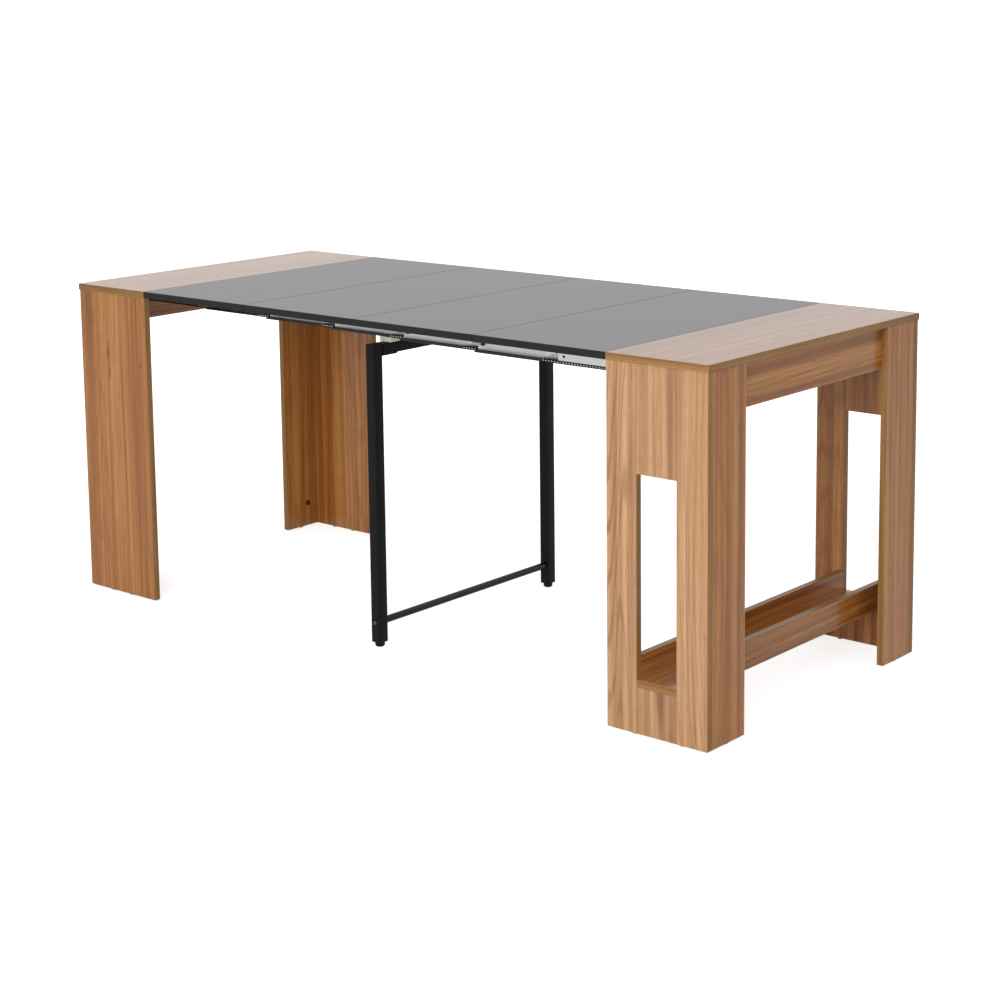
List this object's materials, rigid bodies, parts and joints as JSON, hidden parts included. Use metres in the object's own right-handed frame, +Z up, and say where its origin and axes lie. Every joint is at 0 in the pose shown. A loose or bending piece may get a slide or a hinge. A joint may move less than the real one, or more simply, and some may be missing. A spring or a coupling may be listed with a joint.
{
  "type": "extending dining table",
  "caption": "Extending dining table with panel-legged end units, lift-out leaves on nested ball-bearing slides, a steel centre support and a rack for the leaves.",
  "frame": {"origin": "on the floor under the middle of the table top", "axes": "+X along the table towards the end unit that stores the leaves, +Y across it to the back, +Z up"},
  "size_m": [1.84, 0.78, 0.75],
  "materials": {
    "wood_board": "satin walnut-grain laminate with matching edge bands",
    "dark_board": "smooth dark grey laminate",
    "aluminium_rail": "extruded, satin",
    "steel_cage": "thin stamped strip with steel balls",
    "black_steel": "black powder coat",
    "black_plastic": "moulded",
    "cream_nylon": "moulded"
  },
  "bodies": {
    "storage_unit": {"right_top": "wood_board", "right_front_end_panel": "wood_board", "right_back_end_panel": "wood_board", "right_apron": "wood_board", "right_front_inner_stile": "wood_board", "right_front_outer_stile": "wood_board", "right_front_upper_filler": "wood_board", "right_front_lower_filler": "wood_board", "right_back_inner_stile": "wood_board", "right_back_outer_stile": "wood_board", "right_back_upper_filler": "wood_board", "right_back_lower_filler": "wood_board", "rack_shelf": "wood_board", "rack_inner_rail": "wood_board", "rack_outer_rail": "wood_board", "front_slide_rail_1": "aluminium_rail", "back_slide_rail_1": "aluminium_rail"},
    "slide_stage_2": {"front_slide_rail_2": "aluminium_rail", "back_slide_rail_2": "aluminium_rail"},
    "slide_stage_3": {"front_slide_rail_3": "aluminium_rail", "back_slide_rail_3": "aluminium_rail"},
    "slide_stage_4": {"front_slide_rail_4": "aluminium_rail", "back_slide_rail_4": "aluminium_rail", "support_top_bar": "black_steel", "support_front_post": "black_steel", "support_back_post": "black_steel", "support_stretcher": "black_steel", "support_front_spacer": "cream_nylon", "support_back_spacer": "cream_nylon"},
    "slide_stage_5": {"front_slide_rail_5": "aluminium_rail", "back_slide_rail_5": "aluminium_rail"},
    "slide_stage_6": {"front_slide_rail_6": "aluminium_rail", "back_slide_rail_6": "aluminium_rail"},
    "left_unit": {"left_top": "wood_board", "left_front_panel": "wood_board", "left_back_panel": "wood_board", "left_front_end_panel": "wood_board", "left_back_end_panel": "wood_board", "left_apron": "wood_board", "front_slide_rail_7": "aluminium_rail", "back_slide_rail_7": "aluminium_rail"},
    "ball_cages_1": {"front_ball_cage_1": "steel_cage", "back_ball_cage_1": "steel_cage"},
    "ball_cages_2": {"front_ball_cage_2": "steel_cage", "back_ball_cage_2": "steel_cage"},
    "ball_cages_3": {"front_ball_cage_3": "steel_cage", "back_ball_cage_3": "steel_cage"},
    "ball_cages_4": {"front_ball_cage_4": "steel_cage", "back_ball_cage_4": "steel_cage"},
    "ball_cages_5": {"front_ball_cage_5": "steel_cage", "back_ball_cage_5": "steel_cage"},
    "ball_cages_6": {"front_ball_cage_6": "steel_cage", "back_ball_cage_6": "steel_cage"},
    "leaf_1": {"leaf_1": "dark_board"},
    "leaf_2": {"leaf_2": "dark_board"},
    "leaf_3": {"leaf_3": "dark_board"},
    "leaf_4": {"leaf_4": "dark_board"},
    "front_foot": {"front_levelling_foot": "black_plastic"},
    "back_foot": {"back_levelling_foot": "black_plastic"}
  },
  "joints": [
    {"name": "slide_2", "type": "slide", "parent": "storage_unit", "child": "slide_stage_2", "axis": [-1, 0, 0], "range_m": [0, 0.006]},
    {"name": "slide_3", "type": "slide", "parent": "slide_stage_2", "child": "slide_stage_3", "axis": [-1, 0, 0], "range_m": [0, 0.006]},
    {"name": "slide_4", "type": "slide", "parent": "slide_stage_3", "child": "slide_stage_4", "axis": [-1, 0, 0], "range_m": [0, 0.006]},
    {"name": "slide_5", "type": "slide", "parent": "slide_stage_4", "child": "slide_stage_5", "axis": [-1, 0, 0], "range_m": [0, 0.006]},
    {"name": "slide_6", "type": "slide", "parent": "slide_stage_5", "child": "slide_stage_6", "axis": [-1, 0, 0], "range_m": [0, 0.006]},
    {"name": "slide_7", "type": "slide", "parent": "slide_stage_6", "child": "left_unit", "axis": [-1, 0, 0], "range_m": [0, 0.006]},
    {"name": "cages_1", "type": "slide", "parent": "storage_unit", "child": "ball_cages_1", "axis": [-1, 0, 0], "range_m": [0, 0.003]},
    {"name": "cages_2", "type": "slide", "parent": "slide_stage_2", "child": "ball_cages_2", "axis": [-1, 0, 0], "range_m": [0, 0.003]},
    {"name": "cages_3", "type": "slide", "parent": "slide_stage_3", "child": "ball_cages_3", "axis": [-1, 0, 0], "range_m": [0, 0.003]},
    {"name": "cages_4", "type": "slide", "parent": "slide_stage_4", "child": "ball_cages_4", "axis": [-1, 0, 0], "range_m": [0, 0.003]},
    {"name": "cages_5", "type": "slide", "parent": "slide_stage_5", "child": "ball_cages_5", "axis": [-1, 0, 0], "range_m": [0, 0.003]},
    {"name": "cages_6", "type": "slide", "parent": "slide_stage_6", "child": "ball_cages_6", "axis": [-1, 0, 0], "range_m": [0, 0.003]},
    {"name": "leaf_1_lift", "type": "slide", "parent": "storage_unit", "child": "leaf_1", "axis": [0, 0, 1], "range_m": [0, 0.3]},
    {"name": "leaf_2_lift", "type": "slide", "parent": "storage_unit", "child": "leaf_2", "axis": [0, 0, 1], "range_m": [0, 0.3]},
    {"name": "leaf_3_lift", "type": "slide", "parent": "storage_unit", "child": "leaf_3", "axis": [0, 0, 1], "range_m": [0, 0.3]},
    {"name": "leaf_4_lift", "type": "slide", "parent": "storage_unit", "child": "leaf_4", "axis": [0, 0, 1], "range_m": [0, 0.3]},
    {"name": "front_foot_turn", "type": "hinge", "parent": "slide_stage_4", "child": "front_foot", "pos_m": [-0.027, -0.295, 0], "axis": [0, 0, 1], "continuous": true},
    {"name": "back_foot_turn", "type": "hinge", "parent": "slide_stage_4", "child": "back_foot", "pos_m": [-0.027, 0.295, 0], "axis": [0, 0, 1], "continuous": true}
  ],
  "couplings": [
    {"joint": "slide_3", "follows": "slide_2", "ratio": 1},
    {"joint": "slide_4", "follows": "slide_2", "ratio": 1},
    {"joint": "slide_5", "follows": "slide_2", "ratio": 1},
    {"joint": "slide_6", "follows": "slide_2", "ratio": 1},
    {"joint": "slide_7", "follows": "slide_2", "ratio": 1},
    {"joint": "cages_1", "follows": "slide_2", "ratio": 0.5},
    {"joint": "cages_2", "follows": "slide_2", "ratio": 0.5},
    {"joint": "cages_3", "follows": "slide_2", "ratio": 0.5},
    {"joint": "cages_4", "follows": "slide_2", "ratio": 0.5},
    {"joint": "cages_5", "follows": "slide_2", "ratio": 0.5},
    {"joint": "cages_6", "follows": "slide_2", "ratio": 0.5}
  ]
}
